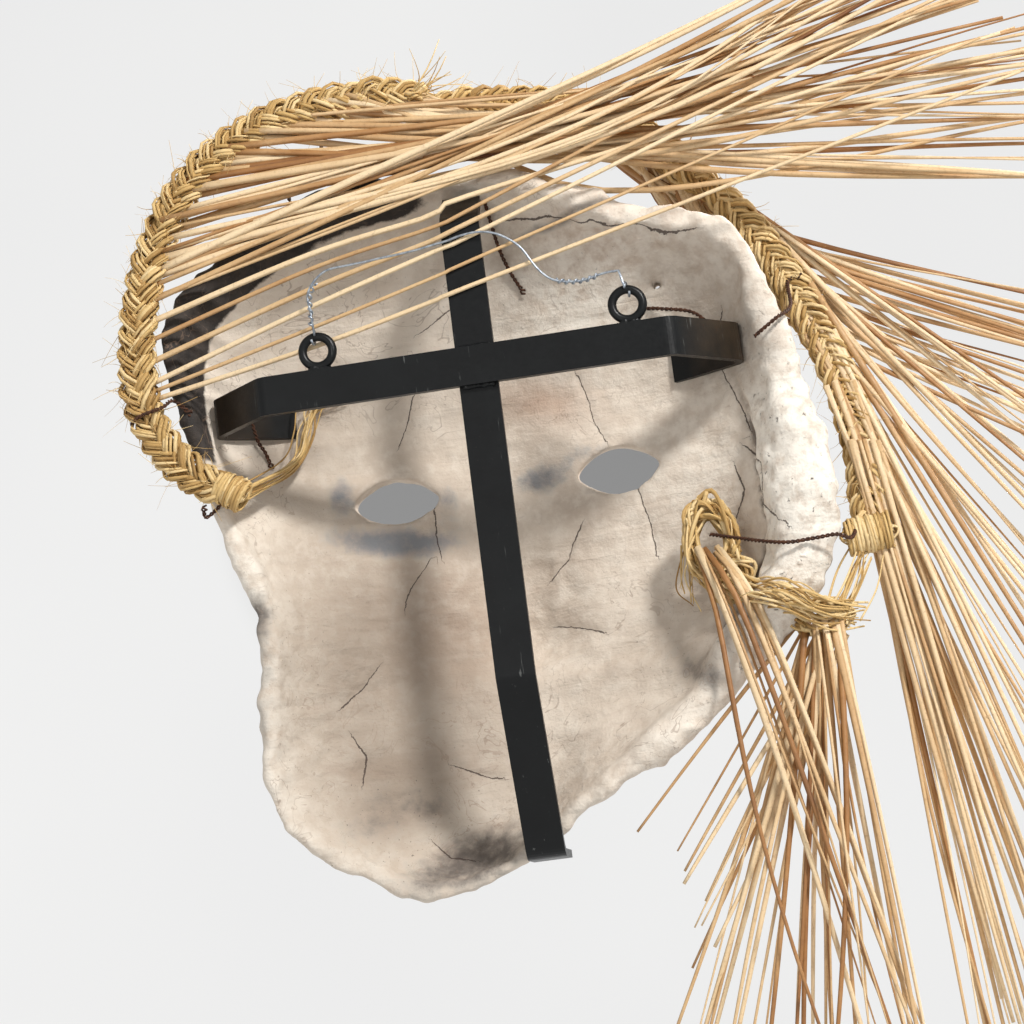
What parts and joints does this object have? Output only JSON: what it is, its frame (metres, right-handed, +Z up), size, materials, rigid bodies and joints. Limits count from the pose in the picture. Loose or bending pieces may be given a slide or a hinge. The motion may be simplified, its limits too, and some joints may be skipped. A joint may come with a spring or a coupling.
{
  "type": "folk art wall mask",
  "caption": "Fired clay face mask with a plaited palm straw wig tied on with wire, on a welded flat-bar wall hanger with two rings and a swinging wire.",
  "frame": {"origin": "centre of the crossbar's rear face, where the hanger rests on the wall", "axes": "+Z up, -Y the way the face looks, +Y out of the back towards the wall, +X the wearer's left"},
  "size_m": [0.512, 0.1306, 0.5861],
  "materials": {
    "fired_clay": "matt, unglazed, smoke-stained",
    "black_paint": "semi-gloss black paint, chipped on one foot",
    "galvanised_wire": "galvanised, dull silver",
    "rusty_wire": "rusty annealed wire",
    "palm_fibre": "dry, matt, frayed",
    "palm_straw": "dry, satin"
  },
  "bodies": {
    "mask": {"mask_shell": "fired_clay", "crossbar": "black_paint", "upright_bar": "black_paint", "crossing_weld": "black_paint", "left_ring": "black_paint", "right_ring": "black_paint", "left_ring_weld": "black_paint", "right_ring_weld": "black_paint", "left_foot_tie": "rusty_wire", "right_foot_tie": "rusty_wire", "top_foot_tie": "rusty_wire", "left_braid_tie": "rusty_wire", "left_knot_tie": "rusty_wire", "crown_tie": "rusty_wire", "right_braid_tie": "rusty_wire", "ear_tie": "rusty_wire", "left_braid": "palm_fibre", "crown_braid": "palm_fibre", "right_braid": "palm_fibre", "left_band_knot": "palm_fibre", "left_knot_tail": "palm_fibre", "right_band_tangle": "palm_fibre", "right_band_wrap": "palm_fibre", "right_band_gather": "palm_fibre", "lone_straws": "palm_straw", "left_straw_lock_1": "palm_straw", "left_straw_lock_2": "palm_straw", "left_straw_lock_3": "palm_straw", "left_straw_lock_4": "palm_straw", "left_straw_lock_5": "palm_straw", "left_straw_lock_6": "palm_straw", "left_straw_lock_7": "palm_straw", "left_straw_lock_8": "palm_straw", "crown_straw_lock_1": "palm_straw", "crown_straw_lock_2": "palm_straw", "crown_straw_lock_3": "palm_straw", "right_straw_lock_1": "palm_straw", "right_straw_lock_2": "palm_straw", "right_straw_lock_3": "palm_straw", "right_straw_lock_4": "palm_straw", "right_straw_lock_5": "palm_straw", "right_straw_lock_6": "palm_straw", "lower_straw_lock_1": "palm_straw", "lower_straw_lock_2": "palm_straw", "lower_straw_lock_3": "palm_straw", "lower_straw_lock_4": "palm_straw", "lower_straw_lock_5": "palm_straw", "lower_straw_lock_6": "palm_straw"},
    "wire": {"hanging_wire": "galvanised_wire"}
  },
  "joints": [
    {"name": "wire_swing", "type": "hinge", "parent": "mask", "child": "wire", "pos_m": [0, -0.00225, 0.02715], "axis": [-1, 0, 0], "range_deg": [0, 150]}
  ]
}
